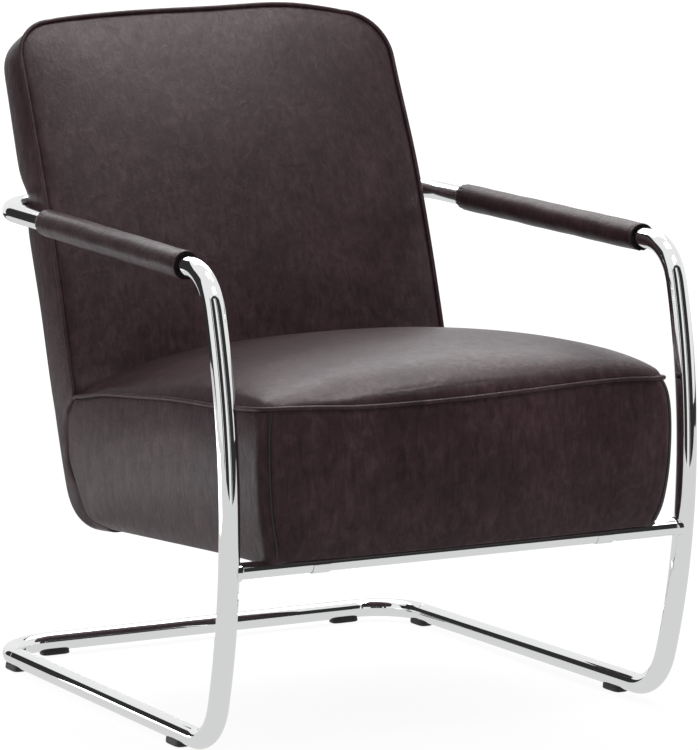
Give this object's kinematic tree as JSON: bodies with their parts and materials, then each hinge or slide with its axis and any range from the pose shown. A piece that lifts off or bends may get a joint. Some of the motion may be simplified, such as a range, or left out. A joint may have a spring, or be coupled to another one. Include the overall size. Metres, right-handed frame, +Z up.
{
  "type": "cantilever lounge chair",
  "caption": "Cantilever lounge chair: a bent chrome tube loop with padded arms carries a leather seat and back with welted edges.",
  "frame": {"origin": "centre of the chair's bounding box, on the floor under the glides", "axes": "+Z up, -Y to the front of the seat, +X to the right as seen from the front"},
  "size_m": [0.6548, 0.8254, 0.8664],
  "materials": {
    "chrome_tube": "polished bright chrome",
    "steel": "zinc-plated steel",
    "black_plastic": "matt black",
    "black_foam": "black closed-cell foam",
    "leather": "dark aubergine-brown leather, semi-gloss",
    "welt_leather": "dark aubergine-brown leather, semi-gloss",
    "plywood": "raw birch plywood",
    "webbing": "black elastic webbing",
    "black_fabric": "thin black non-woven"
  },
  "bodies": {
    "root": {"left_side_tube": "chrome_tube", "right_side_tube": "chrome_tube", "rear_base_tube": "chrome_tube", "rear_arm_tube": "chrome_tube", "front_crossbar": "chrome_tube", "back_bolt_left": "chrome_tube", "back_bolt_right": "chrome_tube", "base_spigot_left": "steel", "base_spigot_right": "steel", "arm_spigot_left": "steel", "arm_spigot_right": "steel", "crossbar_clip_left": "steel", "crossbar_clip_right": "steel", "clip_screw_left": "steel", "clip_screw_right": "steel", "runner_glide_front_left": "black_plastic", "runner_glide_front_right": "black_plastic", "runner_glide_rear_left": "black_plastic", "runner_glide_rear_right": "black_plastic", "rear_glide_left": "black_plastic", "rear_glide_right": "black_plastic", "back_spacer_left": "black_plastic", "back_spacer_right": "black_plastic", "arm_core_left": "black_foam", "arm_core_right": "black_foam", "arm_sleeve_left": "leather", "arm_sleeve_right": "leather", "back_cushion": "leather", "seat_cushion": "leather", "outer_back_panel": "leather", "welt": "welt_leather", "frame_cheek_left": "plywood", "frame_cheek_right": "plywood", "front_rail": "plywood", "rear_seat_rail": "plywood", "lumbar_rail": "plywood", "top_rail": "plywood", "seat_strap_1": "webbing", "seat_strap_2": "webbing", "seat_strap_3": "webbing", "seat_strap_4": "webbing", "seat_strap_5": "webbing", "back_strap_1": "webbing", "back_strap_2": "webbing", "back_strap_3": "webbing", "dust_cover": "black_fabric"}
  },
  "joints": []
}
